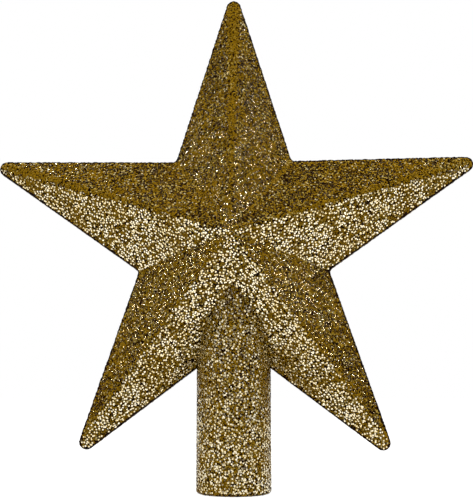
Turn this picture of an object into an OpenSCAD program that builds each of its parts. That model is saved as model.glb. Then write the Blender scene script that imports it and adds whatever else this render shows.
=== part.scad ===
// Glitter star for the top of a Christmas tree, in millimetres.
// Two moulded half stars close on a round socket tube that slips over the tree's top shoot.
// The tube's mouth is centred on the origin, its bore runs up +Z and the star's front faces -Y.

/* [Star] */
// Centre of the star to the sharp point of an arm, before the point is rounded
tip_reach = 115.6; // [95:0.1:140]
// Centre of the star to the corner between two arms
corner_reach = 42.8; // [36:0.1:50]
// Seam plane to the peak of the relief, on each side
relief = 27.4; // [22:0.1:34]
// Height of the upright band at the star's edge, on each side of the seam
edge_band = 1; // [0.6:0.1:1.6]
// Rounding of the points
tip_round = 2.8; // [1.5:0.1:4.5]
// Fillet in the corners between the arms
corner_fillet = 2.4; // [1:0.1:5]
// Centre of the star above the mouth of the tube
star_z = 106.8; // [98:0.1:125]

/* [Shells] */
// Wall of the half stars
wall = 1.4; // [1:0.1:2]
// Width of the rim where the half stars meet
rim_w = 2.4; // [2:0.1:3.2]
// Width of the groove in the rear rim
groove_w = 0.8; // [0.6:0.05:1]
// Height of the tongue on the front rim
tongue_h = 0.7; // [0.4:0.05:1]
// Gap beside the tongue and round a peg
fit_gap = 0.1; // [0.05:0.01:0.15]
// Thickness of the ribs that hold the tube
rib_t = 1.5; // [1:0.1:2.5]
// Half the width of a rib
rib_half_w = 26; // [22:0.5:32]
// How far a rib stays back from the seam
rib_setback = 0.2; // [0.1:0.05:0.5]

/* [Locating pegs] */
// Centre of the star to a peg, along each arm
peg_reach = 60; // [50:1:72]
// Radius of a peg
peg_r = 1.5; // [1:0.1:2]
// Length of a peg beyond the seam
peg_l = 4; // [2:0.1:5]
// Chamfer at the end of a peg
peg_chamfer = 0.4; // [0.2:0.05:0.8]
// Radius of the bosses that carry the pegs and their sockets
boss_r = 3; // [2.6:0.1:4]
// Spare depth of a socket beyond its peg
socket_spare = 0.6; // [0.3:0.1:1]

/* [Socket tube] */
// Radius of the bore
bore_r = 13; // [12:0.1:14]
// Wall of the tube
tube_wall = 2.1; // [1.5:0.1:2.5]
// Rounding of the mouth's outer edge
lip_round = 1.2; // [0.4:0.1:1.6]
// How far the collar that the half stars trap stands out from the tube
collar_w = 2.5; // [1.5:0.1:3.5]
// Thickness of the collar
collar_t = 2; // [1.5:0.1:3]
// Length of the tube above the collar
tube_stub = 3; // [2:0.1:5]
// Gap between the tube and the half stars
seat_gap = 0.15; // [0.1:0.05:0.3]
// Gap between the collar and the ribs and wall around it
collar_gap = 0.3; // [0.1:0.05:0.5]

/* [Cement and coat] */
// Thickness of the cement in the seam
cement_t = 0.2; // [0.1:0.05:0.3]
// Thickness of the glitter coat
coat_t = 0.4; // [0.3:0.05:0.6]

/* [Hidden] */
$fn = 96;
// The star has five arms, and the first one points straight up
arms = 5;
first_arm = 90;
tip_steps = 8;
fillet_steps = 5;
// How far a cut runs past the faces that it opens
overrun = 1;
// Half of an arm's angle at its point, and half of the open angle between two arms
half_pitch = 180 / arms;
tip_half = atan(corner_reach * sin(half_pitch) / (tip_reach - corner_reach * cos(half_pitch)));
notch_half = tip_half + half_pitch;
// Every edge of the outline lies at this distance from the centre, so every face has one tilt
apothem = tip_reach * sin(tip_half);
face_tilt = atan((relief - edge_band) / apothem);
// The centres of the arcs that round the points and fill the corners
tip_centre = tip_reach - tip_round / sin(tip_half);
fillet_centre = corner_reach + corner_fillet / sin(notch_half);
tube_r = bore_r + tube_wall;
collar_r = tube_r + collar_w;
// The collar lies where the hollow of the star is just deep enough for it
hollow_peak = relief - wall / cos(face_tilt);
collar_drop = (hollow_peak - collar_r - collar_gap) * corner_reach / (apothem * tan(face_tilt));
collar_z = star_z - collar_drop;
tube_l = collar_z + collar_t + tube_stub;
// The lower rib crosses the legs just above the corner between them
lower_rib_z = star_z - corner_reach + rim_w;
upper_rib_z = collar_z + collar_t + collar_gap;
groove_inset = (rim_w - groove_w) / 2;
groove_depth = tongue_h + cement_t;

// The outline of the star, moved out from the moulded one by skin

function polar(r, a) = [r * cos(a), r * sin(a)];
function arc(centre, r, from, to, steps) =
    [for (i = [0:steps]) centre + polar(r, from + (to - from) * i / steps)];
function tip_arc(a, skin) =
    arc(polar(tip_centre, a), tip_round + skin, a - 90 + tip_half, a + 90 - tip_half, tip_steps);
function fillet_arc(a, skin) =
    arc(polar(fillet_centre, a), corner_fillet - skin, a + 270 - notch_half, a + 90 + notch_half, fillet_steps);
function outline(skin) = [
    for (arm = [0:arms - 1])
        let (a = first_arm + arm * 2 * half_pitch)
            each concat(tip_arc(a, skin), fillet_arc(a + half_pitch, skin))
];

// A whole star, pointed front and rear, whose faces lie at the distance gap outside the moulded ones
module star_form(skin, gap) {
    ring = outline(skin);
    n = len(ring);
    edge_y = edge_band + gap / cos(face_tilt) - skin * tan(face_tilt);
    peak_y = relief + gap / cos(face_tilt);
    points = concat(
        [for (p = ring) [p.x, -edge_y, star_z + p.y]],
        [for (p = ring) [p.x, edge_y, star_z + p.y]],
        [[0, -peak_y, star_z], [0, peak_y, star_z]]
    );
    front_faces = [for (i = [0:n - 1]) [i, 2 * n, (i + 1) % n]];
    rear_faces = [for (i = [0:n - 1]) [n + i, n + (i + 1) % n, 2 * n + 1]];
    edge_faces = [for (i = [0:n - 1]) [i, (i + 1) % n, n + (i + 1) % n, n + i]];
    polyhedron(points, concat(front_faces, rear_faces, edge_faces));
}

// The space in front of the seam plane
module front_space() {
    side = 2 * (tip_reach + relief);
    translate([-side / 2, -side, star_z - side / 2])
        cube(side);
}

// Stands a flat shape up in the seam plane and gives it a depth towards the front
module stand_up(from, depth) {
    translate([0, -from, star_z])
        rotate([90, 0, 0])
            linear_extrude(depth)
                children();
}

// A band that follows the rim, with its outer side at inset from the star's edge
module rim_band(inset, width) {
    difference() {
        polygon(outline(-inset));
        polygon(outline(-inset - width));
    }
}

// Puts its children on the axis of each arm, at the distance reach from the centre
module on_each_arm(reach) {
    for (arm = [0:arms - 1])
        translate([0, 0, star_z])
            rotate([0, -first_arm - arm * 2 * half_pitch, 0])
                translate([reach, 0, 0])
                    children();
}

// The room that the tube takes in the half stars
module tube_room() {
    translate([0, 0, -overrun])
        cylinder(r = tube_r + seat_gap, h = tube_l + 2 * overrun);
}

// One rib across the hollow, on which the tube is saddled
module saddle_rib(z) {
    translate([-rib_half_w, -relief, z])
        cube([2 * rib_half_w, relief - rib_setback, rib_t]);
}

// What stands inside a half star: the ribs for the tube and a boss for each peg
module inner_supports() {
    saddle_rib(lower_rib_z);
    saddle_rib(collar_z - rib_t);
    saddle_rib(upper_rib_z);
    on_each_arm(peg_reach)
        rotate([90, 0, 0])
            cylinder(r = boss_r, h = relief);
}

// A half star with its hollow and inner supports, open towards the seam
module half_star() {
    difference() {
        intersection() {
            star_form(0, 0);
            front_space();
        }
        difference() {
            star_form(-rim_w, -wall);
            inner_supports();
        }
        tube_room();
    }
}

module peg() {
    rotate([-90, 0, 0])
        rotate_extrude()
            polygon([
                [0, -edge_band],
                [peg_r, -edge_band],
                [peg_r, peg_l - peg_chamfer],
                [peg_r - peg_chamfer, peg_l],
                [0, peg_l]
            ]);
}

module front_shell() {
    color("darkgoldenrod") {
        half_star();
        on_each_arm(peg_reach)
            peg();
        difference() {
            stand_up(-tongue_h, tongue_h + edge_band)
                rim_band(groove_inset + fit_gap, groove_w - 2 * fit_gap);
            tube_room();
        }
    }
}

module rear_shell() {
    color("goldenrod")
        mirror([0, 1, 0])
            difference() {
                half_star();
                stand_up(-overrun, overrun + groove_depth)
                    rim_band(groove_inset, groove_w);
                on_each_arm(peg_reach)
                    translate([0, overrun, 0])
                        rotate([90, 0, 0])
                            cylinder(r = peg_r + fit_gap, h = overrun + peg_l + socket_spare);
            }
}

// What the rounding of the lip takes off the corner of the tube's profile
module lip_corner() {
    translate([tube_r - lip_round, lip_round])
        difference() {
            translate([0, -lip_round - overrun])
                square([lip_round + overrun, lip_round + overrun]);
            circle(lip_round);
        }
}

module socket_tube() {
    color("peru")
        rotate_extrude() {
            difference() {
                translate([bore_r, 0])
                    square([tube_wall, tube_l]);
                lip_corner();
            }
            translate([bore_r, collar_z])
                square([tube_wall + collar_w, collar_t]);
        }
}

// The bead of cement between the tongue's edge and the bottom of the groove
module seam_cement() {
    color("ivory")
        difference() {
            stand_up(-groove_depth, cement_t)
                rim_band(groove_inset, groove_w);
            tube_room();
        }
}

// The skin of glued glitter over the star and the outside of the tube
module glitter_coat() {
    color([0.49, 0.37, 0.10])
        difference() {
            union() {
                star_form(coat_t, coat_t);
                translate([0, 0, lip_round])
                    cylinder(r = tube_r + coat_t, h = star_z - lip_round);
            }
            star_form(0, 0);
            cylinder(r = tube_r, h = star_z);
        }
}

front_shell();
rear_shell();
socket_tube();
seam_cement();
glitter_coat();
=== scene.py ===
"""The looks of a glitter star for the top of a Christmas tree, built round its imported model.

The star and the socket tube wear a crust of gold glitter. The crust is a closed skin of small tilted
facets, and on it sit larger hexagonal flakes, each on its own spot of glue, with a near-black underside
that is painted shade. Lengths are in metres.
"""

import math

import bpy
import numpy as np
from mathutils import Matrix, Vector
from mathutils.geometry import delaunay_2d_cdt


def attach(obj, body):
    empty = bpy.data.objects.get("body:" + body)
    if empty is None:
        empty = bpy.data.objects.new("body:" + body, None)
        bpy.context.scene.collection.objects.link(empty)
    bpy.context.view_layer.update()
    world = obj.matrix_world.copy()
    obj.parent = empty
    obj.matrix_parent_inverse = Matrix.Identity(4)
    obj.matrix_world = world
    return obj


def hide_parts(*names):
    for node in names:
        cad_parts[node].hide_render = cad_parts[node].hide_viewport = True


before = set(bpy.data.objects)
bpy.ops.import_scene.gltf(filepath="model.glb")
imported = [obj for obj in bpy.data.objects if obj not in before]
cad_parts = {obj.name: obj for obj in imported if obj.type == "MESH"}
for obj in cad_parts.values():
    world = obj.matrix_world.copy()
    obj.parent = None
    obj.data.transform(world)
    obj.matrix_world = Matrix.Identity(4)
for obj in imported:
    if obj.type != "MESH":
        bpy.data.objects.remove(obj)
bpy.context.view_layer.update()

MM = 0.001
QUARTER_TURN = math.pi / 2
# The sides of the seam plane, as the sign of y
FRONT = -1
REAR = 1

# The moulded star and tube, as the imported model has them
ARMS = 5
FIRST_ARM = QUARTER_TURN
HALF_PITCH = math.pi / ARMS
TIP_REACH = 115.6 * MM
TIP_ROUND = 2.8 * MM
TIP_STEPS = 8
CORNER_REACH = 42.8 * MM
CORNER_FILLET = 2.4 * MM
FILLET_STEPS = 5
EDGE_BAND = 1.0 * MM
RELIEF = 27.4 * MM
STAR_Z = 106.8 * MM
TUBE_R = 15.1 * MM
LIP_ROUND = 1.2 * MM
LIP_STEPS = 3
COAT = 0.4 * MM

# The skin: the size of its facets, and how far their corners stand out or in at random
FACET = 0.62 * MM
BUMP = 0.20 * MM
# The range of that bump on the star's edge band and on the tube, as shares of BUMP. Elsewhere it is -1 to 1
BAND_BUMPS = (-0.4, 1)
TUBE_BUMPS = (-0.75, 1)
# How far corners stray along the surface, in facets: on the star, round the tube and up the tube
STAR_STRAY = 0.34
TUBE_STRAY = 0.25
TUBE_RISE = 0.22
# The least room between the star's outline and the corners inside it, in facets
OUTLINE_ROOM = 0.62
# How far the middle line of the edge band wanders from the seam plane, and how close to that plane a
# facet's middle lies if it is one of the band's, both in half heights of the band
BAND_WANDER = 0.3
BAND_REACH = 0.8
# Corners closer than this become one
WELD = 1e-7
# How deep the star's skin reaches into the tube. The tube's skin reaches twice as deep into the star
HIDDEN_EDGE = 0.35 * MM
# The height of the lowest ring of the tube's skin, and the least height of any corner of the crust
MOUTH_RING_Z = 0.04 * MM
LOWEST_Z = 0.02 * MM

# The flakes: size, distance from each other, and how far they stray from an even grid, in pitches
FLAKE_SIDES = 6
FLAKE_RADII = (0.34 * MM, 0.44 * MM)
FLAKE_PITCH = 0.96 * MM
FLAKE_STRAY = 0.36
# How far a flake's middle stands above the coat, and how far its root reaches down from there
FLAKE_LIFT = (0.14 * MM, 0.30 * MM)
FLAKE_ROOT = 0.45 * MM
# The most that flakes tilt, and a power below 1 that makes large tilts commoner than small ones
STAR_FLAKE_TILT = math.radians(9)
TUBE_FLAKE_TILT = math.radians(8)
TILT_POWER = 0.7
# How much a hexagon's axes stray from the direction of its tilt
FLAKE_TWIST = 0.3
# The turn of the star's grid of flakes, in radians, so that no edge or ridge follows a row of it
GRID_TURN = 0.2
# The height of the tube's lowest flakes above the rounding of its lip, in pitches
FIRST_ROW = 0.3

# Tones run from 0 to 1. The thirds of the flakes' grid share them out, each blurred over its ends by
# this share of a third, so that neighbours differ
TONE_BLUR = 0.4
# The tone of a flake's underside, below the tones of the tops: near black, painted shade under each flake
SHADED_UNDERSIDE = -1.0
# The share of their tone that is left to the dull flakes on the upper ridges and in the upper valleys, to
# the facets of the edge band and to those of the faces' dark rim. No flake lies on that rim. All three are
# painted shade: the upper ridges and valleys are darkened so that the high lamps show no glints there, and
# the rim and, less, the edge band make a dark outline round the star
DULL_SHADE_SHARE = 0.36
SHADED_BAND_TONE_SHARE = 0.85
SHADED_RIM_TONE_SHARE = 0.35
SHADED_RIM_WIDTH = 0.55 * MM

# The camera, as the photograph was taken: its distance and direction from the star's centre, in degrees
# with 0,0 in front, and then in pixels its focal length and the place of that centre in the picture
PHOTO_W = 473
PHOTO_H = 500
CAMERA_REACH = 409.5 * MM
CAMERA_AZIMUTH = 2.9
CAMERA_ELEVATION = -8.8
FOCAL_PX = 940.4
CENTRE_PX = (233.8, 240.8)
NEAREST_SEEN = CAMERA_REACH / 100


# Outline and relief of the coated star

TIP_HALF = math.atan(
    CORNER_REACH * math.sin(HALF_PITCH) / (TIP_REACH - CORNER_REACH * math.cos(HALF_PITCH))
)
NOTCH_HALF = TIP_HALF + HALF_PITCH
APOTHEM = TIP_REACH * math.sin(TIP_HALF)
FACE_TILT = math.atan((RELIEF - EDGE_BAND) / APOTHEM)
PEAK = RELIEF + COAT / math.cos(FACE_TILT)
EDGE = EDGE_BAND + COAT / math.cos(FACE_TILT) - COAT * math.tan(FACE_TILT)
TUBE_COAT_R = TUBE_R + COAT
# The distance between the rows of a triangular grid, in pitches
ROW = math.sqrt(3) / 2


def polar(r, a):
    return np.array([r * math.cos(a), r * math.sin(a)])


def cross(a, b):
    return a[..., 0] * b[..., 1] - a[..., 1] * b[..., 0]


def unit(vectors):
    return vectors / np.linalg.norm(vectors, axis=1)[:, None]


def arc(centre, r, middle, half, steps):
    """Points on an arc about centre, from the angle half before the middle to half past it."""
    return [centre + polar(r, a) for a in np.linspace(middle - half, middle + half, steps + 1)]


def star_outline():
    """The coated star's outline about its centre, as x and z, anticlockwise from the top arm."""
    tip_centre = TIP_REACH - TIP_ROUND / math.sin(TIP_HALF)
    fillet_centre = CORNER_REACH + CORNER_FILLET / math.sin(NOTCH_HALF)
    tip_r = TIP_ROUND + COAT
    fillet_r = CORNER_FILLET - COAT
    points = []
    for arm in range(ARMS):
        a = FIRST_ARM + arm * 2 * HALF_PITCH
        points += arc(polar(tip_centre, a), tip_r, a, QUARTER_TURN - TIP_HALF, TIP_STEPS)
        # A fillet bends the other way, so half of its angle is negative
        b = a + HALF_PITCH
        points += arc(polar(fillet_centre, b), fillet_r, b + math.pi, NOTCH_HALF - QUARTER_TURN, FILLET_STEPS)
    return np.array(points)


OUTLINE = star_outline()
# The outline runs once round the centre, so the sector that a point lies in gives its place
OUTLINE_ANGLES = np.unwrap(np.arctan2(OUTLINE[:, 1], OUTLINE[:, 0]))


def sectors(points):
    """The two ends of the outline's edge that each point faces."""
    first = OUTLINE_ANGLES[0]
    angles = (np.arctan2(points[:, 1], points[:, 0]) - first) % (2 * math.pi) + first
    i = np.clip(np.searchsorted(OUTLINE_ANGLES, angles, side="right") - 1, 0, len(OUTLINE) - 1)
    return OUTLINE[i], OUTLINE[(i + 1) % len(OUTLINE)]


def share_out(points):
    """How far out each point lies: 0 at the star's centre and 1 on its outline."""
    a, b = sectors(points)
    return (cross(points, b) + cross(a, points)) / cross(a, b)


def depth(points):
    """The distance from the seam plane to the coated face."""
    return PEAK - (PEAK - EDGE) * share_out(points)


def face_normals(points, side):
    """The outward normals of the face on that side, over points of the seam plane."""
    a, b = sectors(points)
    slope = np.stack([b[:, 1] - a[:, 1], a[:, 0] - b[:, 0]], 1) / cross(a, b)[:, None] * (PEAK - EDGE)
    return unit(np.stack([slope[:, 0], np.full(len(points), side), slope[:, 1]], 1))


def on_face(points, side):
    """The places on the coated face on that side, over points of the seam plane."""
    return np.stack([points[:, 0], side * depth(points), points[:, 1] + STAR_Z], 1)


def seam_points(places):
    """The points of the seam plane, about the star's centre, that places lie over."""
    return places[:, [0, 2]] - [0, STAR_Z]


def even_ring(points, step):
    """Points at even distances along a closed line."""
    ends = np.roll(points, -1, axis=0)
    lengths = np.linalg.norm(ends - points, axis=1)
    along = np.concatenate([[0], np.cumsum(lengths)])
    closed = np.vstack([points, points[:1]])
    count = round(along[-1] / step)
    at = np.arange(count) * along[-1] / count
    return np.stack([np.interp(at, along, closed[:, k]) for k in (0, 1)], 1)


def thirds(i, j):
    """The third of a triangular grid that place i of row j belongs to, never that of a neighbour."""
    return (i - j // 2 - j) % 3


def scatter(reach, pitch, stray, rng):
    """Points of a triangular grid, each moved at random by up to a share of the pitch, and their thirds."""
    row = pitch * ROW
    n = int(reach / row) + 1
    i, j = np.meshgrid(np.arange(-n, n + 1), np.arange(-n, n + 1))
    points = np.stack([(i + 0.5 * (j % 2)) * pitch, j * row], -1).reshape(-1, 2)
    return points + rng.uniform(-stray, stray, points.shape) * pitch, thirds(i, j).ravel()


def edge_distance(points):
    """The distance from each point to the star's outline."""
    nearest = np.full(len(points), np.inf)
    for a, b in zip(OUTLINE, np.roll(OUTLINE, -1, axis=0)):
        along = np.clip((points - a) @ (b - a) / ((b - a) @ (b - a)), 0, 1)
        nearest = np.minimum(nearest, np.linalg.norm(points - a - along[:, None] * (b - a), axis=1))
    return nearest


def rounded(points):
    """Which points lie on a rounded ridge or in a rounded valley, under the arc of a tip or of a corner."""
    a, b = sectors(points)
    # Only the arcs have edges as short as that
    return np.linalg.norm(b - a, axis=1) < TIP_ROUND


def in_tube(places):
    """The places that lie well inside the socket tube's coat."""
    return (np.hypot(places[:, 0], places[:, 1]) < TUBE_COAT_R - HIDDEN_EDGE) & (places[:, 2] < STAR_Z)


def in_star(places, margin):
    """The places that lie inside the star, by at least the margin."""
    points = seam_points(places)
    return np.abs(places[:, 1]) < np.where(share_out(points) < 1, depth(points), 0) - margin


# Meshes


def mesh_object(name, places, faces, tones):
    """A piece made of places and faces, with a tone for each face."""
    mesh = bpy.data.meshes.new(name)
    mesh.from_pydata(places, [], faces)
    tone = mesh.attributes.new("tone", "FLOAT", "FACE")
    tone.data.foreach_set("value", np.asarray(tones, np.float32))
    mesh.update()
    piece = bpy.data.objects.new(name, mesh)
    bpy.context.scene.collection.objects.link(piece)
    return piece


def compact(places, faces):
    """Drops the places that no face uses."""
    used = np.unique(faces)
    place_of = np.zeros(len(places), int)
    place_of[used] = np.arange(len(used))
    return places[used], place_of[faces]


def triangulate(points, ring_length):
    """Anticlockwise triangles between points, inside the closed line of the first ring_length of them."""
    only_inside = 1
    _, _, triangles, came_from, _, _ = delaunay_2d_cdt(
        [Vector(p) for p in points], [], [list(range(ring_length))], only_inside, WELD
    )
    old = np.array([c[0] for c in came_from])
    triangles = old[np.array(triangles)]
    corners = points[triangles]
    clockwise = cross(corners[:, 1] - corners[:, 0], corners[:, 2] - corners[:, 0]) < 0
    triangles[clockwise] = triangles[clockwise][:, ::-1]
    return triangles


def star_skin(rng):
    """The faceted skin of the whole star: both faces and the band between them."""
    ring = even_ring(OUTLINE, FACET)
    inner, _ = scatter(TIP_REACH + COAT, FACET, STAR_STRAY, rng)
    inner = inner[(share_out(inner) < 1) & (edge_distance(inner) > OUTLINE_ROOM * FACET)]
    points = np.vstack([ring, inner])
    triangles = triangulate(points, len(ring))
    places = []
    for side in (FRONT, REAR):
        bumps = rng.uniform(-1, 1, len(points)) * BUMP
        places.append(on_face(points, side) + face_normals(points, side) * bumps[:, None])

    middle = (ring + np.roll(ring, -1, axis=0)) / 2
    middle = middle + unit(middle) * rng.uniform(*BAND_BUMPS, (len(ring), 1)) * BUMP
    y = rng.uniform(-BAND_WANDER, BAND_WANDER, len(ring)) * EDGE
    places.append(np.stack([middle[:, 0], y, middle[:, 1] + STAR_Z], 1))

    # Corners of the band: on the front and rear outline, and on the middle line between them
    n = len(points)
    front = np.arange(len(ring))
    next_front = (front + 1) % len(ring)
    rear, next_rear = n + front, n + next_front
    centre, next_centre = 2 * n + front, 2 * n + next_front
    band = (
        (next_front, front, centre),
        (next_front, centre, next_centre),
        (rear, next_rear, centre),
        (centre, next_rear, next_centre),
    )
    faces = [triangles, triangles[:, ::-1] + n] + [np.stack(corners, 1) for corners in band]

    places, faces = np.vstack(places), np.vstack(faces)
    faces = faces[~in_tube(places[faces].mean(1))]
    places, faces = compact(places, faces)
    middles = places[faces].mean(1)
    # Painted shade: the facets of the rim along the outline, and less so those of the edge band, keep only a
    # share of their tone, for a dark outline round the star
    on_shaded_rim = edge_distance(seam_points(middles)) < SHADED_RIM_WIDTH
    on_band = np.abs(middles[:, 1]) < BAND_REACH * EDGE
    tones = rng.random(len(faces)) * np.where(on_band, SHADED_BAND_TONE_SHARE, np.where(on_shaded_rim, SHADED_RIM_TONE_SHARE, 1))
    return mesh_object("glitter_star", places, faces.tolist(), tones)


def tube_profile():
    """The coated tube's outside as radius, height and outward direction, from the mouth up."""
    rows = []
    for a in np.linspace(-QUARTER_TURN, 0, LIP_STEPS + 1)[:-1]:
        r = TUBE_R - LIP_ROUND + (LIP_ROUND + COAT) * math.cos(a)
        z = LIP_ROUND + (LIP_ROUND - MOUTH_RING_Z) * math.sin(a)
        rows.append((r, z, math.cos(a), math.sin(a)))
    for z in np.arange(LIP_ROUND, STAR_Z, FACET * ROW):
        rows.append((TUBE_COAT_R, z, 1, 0))
    return rows


def tube_skin(rng):
    """The faceted skin of the socket tube, up to where the star hides it."""
    rows = tube_profile()
    count = round(2 * math.pi * TUBE_COAT_R / FACET)
    i = np.arange(count)
    places = []
    for j, (r, z, out, up) in enumerate(rows):
        a = (i + 0.5 * (j % 2) + rng.uniform(-TUBE_STRAY, TUBE_STRAY, count)) * 2 * math.pi / count
        # The lowest ring keeps its width, and only the rows above the lip stray in height
        bumps = rng.uniform(*TUBE_BUMPS, count) * BUMP * (j > 0)
        height = z + up * bumps + rng.uniform(-TUBE_RISE, TUBE_RISE, count) * FACET * (j > LIP_STEPS)
        reach = r + out * bumps
        places.append(np.stack([reach * np.sin(a), -reach * np.cos(a), np.maximum(height, LOWEST_Z)], 1))
    faces = []
    for j in range(len(rows) - 1):
        low, high = j * count + i, (j + 1) * count + i
        next_low, next_high = j * count + (i + 1) % count, (j + 1) * count + (i + 1) % count
        if j % 2 == 0:
            pair = ((low, next_low, high), (high, next_low, next_high))
        else:
            pair = ((low, next_high, high), (low, next_low, next_high))
        faces += [np.stack(corners, 1) for corners in pair]
    places, faces = np.vstack(places), np.vstack(faces)
    hidden = in_star(places, 2 * HIDDEN_EDGE)
    faces = faces[~hidden[faces].all(1)]
    places, faces = compact(places, faces)
    return mesh_object("glitter_tube", places, faces.tolist(), rng.random(len(faces)))


def flakes(name, places, normals, third, dull, most_tilt, rng):
    """Hexagonal flakes on the given places, each a flat top over a root that is sunk in the skin.

    Those that are dull, or none if it is False, keep only the dull flakes' share of their tone, as painted
    shade.
    """
    n = len(places)
    side = unit(np.cross(normals, rng.normal(size=(n, 3))))
    tilt = np.tan(most_tilt * rng.random(n) ** TILT_POWER)[:, None]
    up = unit(normals + side * tilt)
    u = unit(np.cross(up, side + FLAKE_TWIST * rng.normal(size=(n, 3))))
    v = np.cross(up, u)
    radius = rng.uniform(*FLAKE_RADII, n)[:, None]
    centre = places + normals * rng.uniform(*FLAKE_LIFT, n)[:, None]
    spin = rng.uniform(0, 2 * math.pi / FLAKE_SIDES, n)
    corners = []
    for k in range(FLAKE_SIDES):
        a = (spin + k * 2 * math.pi / FLAKE_SIDES)[:, None]
        corners.append(centre + radius * (np.cos(a) * u + np.sin(a) * v))
    root = centre - normals * FLAKE_ROOT
    points = np.stack([*corners, root], 1)
    points[:, :, 2] = np.maximum(points[:, :, 2], LOWEST_Z)

    first = np.arange(n)[:, None] * (FLAKE_SIDES + 1)
    tops = first + np.arange(FLAKE_SIDES)
    under = [first + np.array([(k + 1) % FLAKE_SIDES, k, FLAKE_SIDES]) for k in range(FLAKE_SIDES)]
    tones = (third + rng.uniform(-TONE_BLUR, 1 + TONE_BLUR, n)) / 3 % 1 * np.where(dull, DULL_SHADE_SHARE, 1)
    return mesh_object(
        name, points.reshape(-1, 3), tops.tolist() + np.concatenate(under).tolist(),
        np.concatenate([tones, np.full(FLAKE_SIDES * n, SHADED_UNDERSIDE)]),
    )


def star_flakes(name, side, rng):
    """The flakes on one side of the star, outside the tube."""
    points, third = scatter(TIP_REACH + COAT, FLAKE_PITCH, FLAKE_STRAY, rng)
    points = points @ np.array([polar(1, GRID_TURN), polar(1, GRID_TURN + QUARTER_TURN)])
    inside = (share_out(points) < 1) & (edge_distance(points) > SHADED_RIM_WIDTH + FLAKE_RADII[0])
    points, third = points[inside], third[inside]
    places = on_face(points, side)
    clear = ~(in_tube(places) | in_tube(places - [0, 0, FLAKE_PITCH]))
    points, places, third = points[clear], places[clear], third[clear]
    normals = face_normals(points, side)
    # Painted shade: flakes on the rounded upper ridges and valleys are darkened, so the high lamps show no
    # glints there
    dull = rounded(points) & (normals[:, 2] > 0)
    return flakes(name, places, normals, third, dull, STAR_FLAKE_TILT, rng)


def tube_flakes(name, rng):
    """The flakes on the tube, outside the star."""
    count = round(2 * math.pi * TUBE_COAT_R / FLAKE_PITCH)
    rows = np.arange(LIP_ROUND + FIRST_ROW * FLAKE_PITCH, STAR_Z, FLAKE_PITCH * ROW)
    i, j = np.meshgrid(np.arange(count), np.arange(len(rows)))
    stray = rng.uniform(-FLAKE_STRAY, FLAKE_STRAY, i.shape)
    a = (i + 0.5 * (j % 2) + stray).ravel() * 2 * math.pi / count
    normals = np.stack([np.sin(a), -np.cos(a), np.zeros(len(a))], 1)
    places = normals * TUBE_COAT_R
    places[:, 2] = rows[j.ravel()] + rng.uniform(-FLAKE_STRAY, FLAKE_STRAY, i.size) * FLAKE_PITCH
    clear = ~in_star(places, 0)
    third = thirds(i, j).ravel()[clear]
    return flakes(name, places[clear], normals[clear], third, False, TUBE_FLAKE_TILT, rng)


# Materials

# The facets between the flakes: near black up to the tone 0.5, dark glue that is also painted shade in the
# gaps between the flakes, then lacquered brown and gold
BED_TONES = [
    (0.00, (0.005, 0.001, 0.000)),
    (0.50, (0.028, 0.006, 0.000)),
    (0.60, (0.350, 0.185, 0.003)),
    (0.84, (0.500, 0.281, 0.010)),
    (1.00, (0.760, 0.540, 0.095)),
]
# The flakes: near-black undersides, which are painted shade, lacquered brown to cream, the cream ones below
# METAL_FROM being painted glints, and bare metal film from METAL_FROM up
FLAKE_TONES = [
    (0.00, (0.014, 0.003, 0.000)),
    (0.03, (0.270, 0.142, 0.002)),
    (0.32, (0.470, 0.261, 0.010)),
    (0.38, (0.750, 0.570, 0.180)),
    (0.44, (1.000, 0.860, 0.500)),
    (0.46, (0.800, 0.640, 0.320)),
    (1.00, (0.980, 0.890, 0.670)),
]
METAL_FROM = 0.45
# A tone above all others
NO_METAL = 2.0
# The contrast of the tones is CONTRAST times the noise of the patches less CONTRAST_LESS, about 1 on average
CONTRAST = 3.0
CONTRAST_LESS = 0.45
# The scales of the noise in the patches and in the grain, in cells per metre
PATCH_SCALE = 100.0
GRAIN_SCALE = 2600.0
# The specular level of what is lacquered, far below that of clean plastic
LACQUER_GLOSS = 0.03
# The range of noise over which a plastic goes from deep to pale, and how much finer its grain is
MARBLING = (0.3, 0.7)
GRAIN_FINENESS = 30
# The width of the range in which the grain varies the roughness
ROUGHNESS_RANGE = 0.2


class Nodes:
    """A node tree with short ways to add a node and to link it."""

    def __init__(self, tree):
        self.tree = tree
        tree.nodes.clear()

    def add(self, kind, settings=None, **inputs):
        made = self.tree.nodes.new(kind)
        for name, value in (settings or {}).items():
            setattr(made, name, value)
        for name, value in inputs.items():
            self.put(value, made.inputs[name.replace("_", " ")])
        return made

    def put(self, value, socket):
        if isinstance(value, bpy.types.NodeSocket):
            self.tree.links.new(value, socket)
        else:
            socket.default_value = value

    def calculate(self, operation, *values):
        made = self.tree.nodes.new("ShaderNodeMath")
        made.operation = operation
        for value, socket in zip(values, made.inputs):
            self.put(value, socket)
        return made.outputs[0]

    def noise(self, places, scale, detail):
        return self.add("ShaderNodeTexNoise", Vector=places, Scale=scale, Detail=detail).outputs["Fac"]

    def ramp(self, fac, stops):
        made = self.add("ShaderNodeValToRGB", Fac=fac)
        ramp = made.color_ramp
        while len(ramp.elements) < len(stops):
            # Between the two that are there, and moved to its own place below
            ramp.elements.new(0.5)
        for element, (at, colour) in zip(ramp.elements, stops):
            element.position = at
            element.color = (*colour, 1)
        return made.outputs["Color"]


def material(name):
    made = bpy.data.materials.new(name)
    made.use_nodes = True
    return made, Nodes(made.node_tree)


def grained_surface(nodes, colour, grain, roughness, relief, relief_depth, **inputs):
    """Ends a material in a surface whose roughness and relief both follow the grain."""
    rough = nodes.calculate("MULTIPLY_ADD", grain, ROUGHNESS_RANGE, roughness - ROUGHNESS_RANGE / 2)
    bump = nodes.add("ShaderNodeBump", Height=grain, Strength=relief, Distance=relief_depth).outputs["Normal"]
    shader = nodes.add("ShaderNodeBsdfPrincipled", Base_Color=colour, Roughness=rough, Normal=bump, **inputs)
    nodes.add("ShaderNodeOutputMaterial", Surface=shader.outputs[0])


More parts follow.
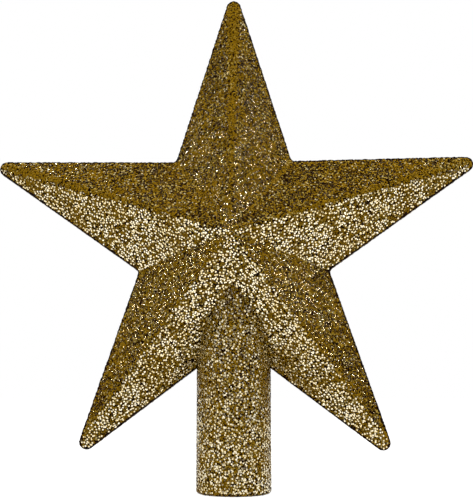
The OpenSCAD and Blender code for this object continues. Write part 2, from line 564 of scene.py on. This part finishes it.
def glitter_material(name, tones, smooth_tone, roughness, metal_from):
    """Glitter in tones from dark to pale, lacquered up to the tone metal_from and bare metal film above it.

    In the patches of least contrast all tones come close to smooth_tone.
    """
    made, nodes = material(name)
    tone = nodes.add("ShaderNodeAttribute", {"attribute_name": "tone"}).outputs["Fac"]
    places = nodes.add("ShaderNodeTexCoord").outputs["Object"]
    patches = nodes.noise(places, PATCH_SCALE, detail=3.0)
    contrast = nodes.calculate("MULTIPLY_ADD", patches, CONTRAST, -CONTRAST_LESS)
    apart = nodes.calculate("SUBTRACT", tone, smooth_tone)
    tone = nodes.calculate("MULTIPLY_ADD", apart, contrast, smooth_tone)
    colour = nodes.ramp(tone, tones)
    metal = nodes.calculate("GREATER_THAN", tone, metal_from)
    grain = nodes.noise(places, GRAIN_SCALE, detail=2.0)
    grained_surface(
        nodes, colour, grain, roughness, relief=0.25, relief_depth=0.1 * MM,
        Metallic=metal, Specular_IOR_Level=LACQUER_GLOSS,
    )
    return made


def plastic_material(name, pale, deep, scale, roughness):
    """Moulded plastic: a slight marbling from deep to pale, and a fine bloom on the surface."""
    made, nodes = material(name)
    places = nodes.add("ShaderNodeTexCoord").outputs["Object"]
    marbling = nodes.noise(places, scale, detail=4.0)
    colour = nodes.ramp(marbling, list(zip(MARBLING, (deep, pale))))
    grain = nodes.noise(places, GRAIN_FINENESS * scale, detail=2.0)
    grained_surface(nodes, colour, grain, roughness, relief=0.2, relief_depth=0.05 * MM)
    return made


def wear(piece, finish):
    piece.data.materials.clear()
    piece.data.materials.append(finish)


# Stage, lamps and camera

FLOOR_HALF = 3.0
FLOOR_GREY = (0.5, 0.5, 0.5, 1)
# What the floor adds to its lit grey where the camera, a mirror or glass shows it, to come out white
FLOOR_GLOW = 0.85
WHITE = (1, 1, 1)
WARM = (1.0, 0.90, 0.74)
# What mirrors show round the star, by height from the horizon up: the white of the floor goes over into a
# dim brown room
ROOM = [(0.0, WHITE), (0.03, (0.04, 0.018, 0.002))]
# The strength of the world's soft light
AMBIENT = 0.40


def make_floor():
    """A pale floor. It casts no shadow, because the low lamps shine through it from below."""
    mesh = bpy.data.meshes.new("floor")
    square = [(x * FLOOR_HALF, y * FLOOR_HALF, 0) for x, y in ((-1, -1), (1, -1), (1, 1), (-1, 1))]
    mesh.from_pydata(square, [], [(0, 1, 2, 3)])
    floor = bpy.data.objects.new("floor", mesh)
    bpy.context.scene.collection.objects.link(floor)
    finish, nodes = material("white_floor")
    diffuse = nodes.add("ShaderNodeBsdfDiffuse", Color=FLOOR_GREY).outputs[0]
    glow = nodes.add("ShaderNodeEmission", Color=(*WHITE, 1), Strength=FLOOR_GLOW).outputs[0]
    lit = nodes.add("ShaderNodeAddShader")
    nodes.put(diffuse, lit.inputs[0])
    nodes.put(glow, lit.inputs[1])
    rays = nodes.add("ShaderNodeLightPath").outputs
    in_sight = nodes.calculate("MAXIMUM", rays["Is Camera Ray"], rays["Is Glossy Ray"])
    in_sight = nodes.calculate("MAXIMUM", in_sight, rays["Is Transmission Ray"])
    seen = nodes.add("ShaderNodeMixShader", Fac=in_sight)
    nodes.put(diffuse, seen.inputs[1])
    nodes.put(lit.outputs[0], seen.inputs[2])
    nodes.add("ShaderNodeOutputMaterial", Surface=seen.outputs[0])
    mesh.materials.append(finish)
    floor.visible_shadow = False


def make_world():
    """White to the camera and through glass, the room in a mirror, and soft light on what is dull."""
    world = bpy.data.worlds.new("studio")
    bpy.context.scene.world = world
    world.use_nodes = True
    nodes = Nodes(world.node_tree)
    rays = nodes.add("ShaderNodeLightPath").outputs
    straight = nodes.calculate("MAXIMUM", rays["Is Camera Ray"], rays["Is Transmission Ray"])
    in_sight = nodes.calculate("MAXIMUM", straight, rays["Is Glossy Ray"])
    places = nodes.add("ShaderNodeTexCoord").outputs["Generated"]
    height = nodes.add("ShaderNodeSeparateXYZ", Vector=places).outputs["Z"]
    colour = nodes.add(
        "ShaderNodeMixRGB", Fac=rays["Is Glossy Ray"], Color1=(*WHITE, 1), Color2=nodes.ramp(height, ROOM)
    ).outputs[0]
    ambient = nodes.calculate("MULTIPLY", rays["Is Diffuse Ray"], AMBIENT)
    strength = nodes.calculate("ADD", in_sight, ambient)
    back = nodes.add("ShaderNodeBackground", Color=colour, Strength=strength)
    nodes.add("ShaderNodeOutputWorld", Surface=back.outputs[0])


def face_star(made, azimuth, elevation, distance):
    """Puts a lamp or camera round the star's centre and turns it there. Degrees, with 0,0 in front."""
    a, e = math.radians(azimuth), math.radians(elevation)
    back = Vector((math.sin(a) * math.cos(e), -math.cos(a) * math.cos(e), math.sin(e)))
    made.location = Vector((0, 0, STAR_Z)) + back * distance
    made.rotation_euler = (-back).to_track_quat("-Z", "Y").to_euler()
    bpy.context.scene.collection.objects.link(made)


def lamp(name, azimuth, elevation, distance, size, power, colour=WHITE):
    """A square soft lamp, with its size in metres and its power in watts."""
    light = bpy.data.lights.new(name, "AREA")
    light.color = colour
    light.size = size
    light.energy = power
    # The lamp lights by direct sampling alone, and rays that a flake mirrors pass it by
    light.cycles.use_multiple_importance_sampling = False
    made = bpy.data.objects.new(name, light)
    made.visible_camera = False
    face_star(made, azimuth, elevation, distance)


def make_camera():
    made = bpy.data.objects.new("camera", bpy.data.cameras.new("camera"))
    long_side = max(PHOTO_W, PHOTO_H)
    made.data.lens = FOCAL_PX / long_side * made.data.sensor_width
    made.data.shift_x = (PHOTO_W / 2 - CENTRE_PX[0]) / long_side
    made.data.shift_y = (CENTRE_PX[1] - PHOTO_H / 2) / long_side
    made.data.clip_start = NEAREST_SEEN
    face_star(made, CAMERA_AZIMUTH, CAMERA_ELEVATION, CAMERA_REACH)
    bpy.context.scene.camera = made


# The star

skins = [star_skin(np.random.default_rng(seed=1)), tube_skin(np.random.default_rng(seed=2))]
layers = [
    star_flakes("flakes_front", FRONT, np.random.default_rng(seed=3)),
    star_flakes("flakes_rear", REAR, np.random.default_rng(seed=4)),
    tube_flakes("flakes_tube", np.random.default_rng(seed=5)),
]
bed = glitter_material(
    "glitter_bed", BED_TONES, smooth_tone=0.65, roughness=0.3, metal_from=NO_METAL
)
flake = glitter_material(
    "glitter_flake", FLAKE_TONES, smooth_tone=0.25, roughness=0.2, metal_from=METAL_FROM
)
for piece in skins:
    wear(piece, bed)
    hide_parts("glitter_coat")
for piece in layers:
    wear(piece, flake)
for piece in skins + layers:
    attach(piece, "root")

shell_plastic = plastic_material(
    "shell_plastic", pale=(0.42, 0.29, 0.08), deep=(0.34, 0.22, 0.05), scale=60, roughness=0.4
)
tube_plastic = plastic_material(
    "tube_plastic", pale=(0.44, 0.31, 0.10), deep=(0.36, 0.24, 0.07), scale=80, roughness=0.38
)
cement = plastic_material(
    "cement", pale=(0.72, 0.68, 0.55), deep=(0.62, 0.57, 0.42), scale=200, roughness=0.3
)
wear(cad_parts["front_shell"], shell_plastic)
wear(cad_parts["rear_shell"], shell_plastic)
wear(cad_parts["socket_tube"], tube_plastic)
wear(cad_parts["seam_cement"], cement)

make_floor()
make_world()
# The high lamps light the whole front. The low lamps put sparkle on the faces that look down, and the side
# lamps on those that look to the side. The back lamps light the rear
lamp("high_left", azimuth=-50, elevation=53, distance=0.8, size=0.30, power=1.3)
lamp("high_right", azimuth=50, elevation=53, distance=0.8, size=0.30, power=1.3)
lamp("low_left", azimuth=-61, elevation=-48, distance=0.8, size=0.30, power=0.10)
lamp("low_right", azimuth=57, elevation=-49, distance=0.8, size=0.30, power=0.10)
lamp("side_left", azimuth=-71, elevation=20, distance=0.5, size=0.17, power=0.15, colour=WARM)
lamp("side_right", azimuth=64, elevation=20, distance=0.5, size=0.16, power=0.13, colour=WARM)
lamp("back_left", azimuth=-140, elevation=50, distance=0.8, size=0.30, power=1.0)
lamp("back_right", azimuth=140, elevation=50, distance=0.8, size=0.30, power=1.0)
make_camera()
bpy.context.scene.view_settings.view_transform = "Standard"
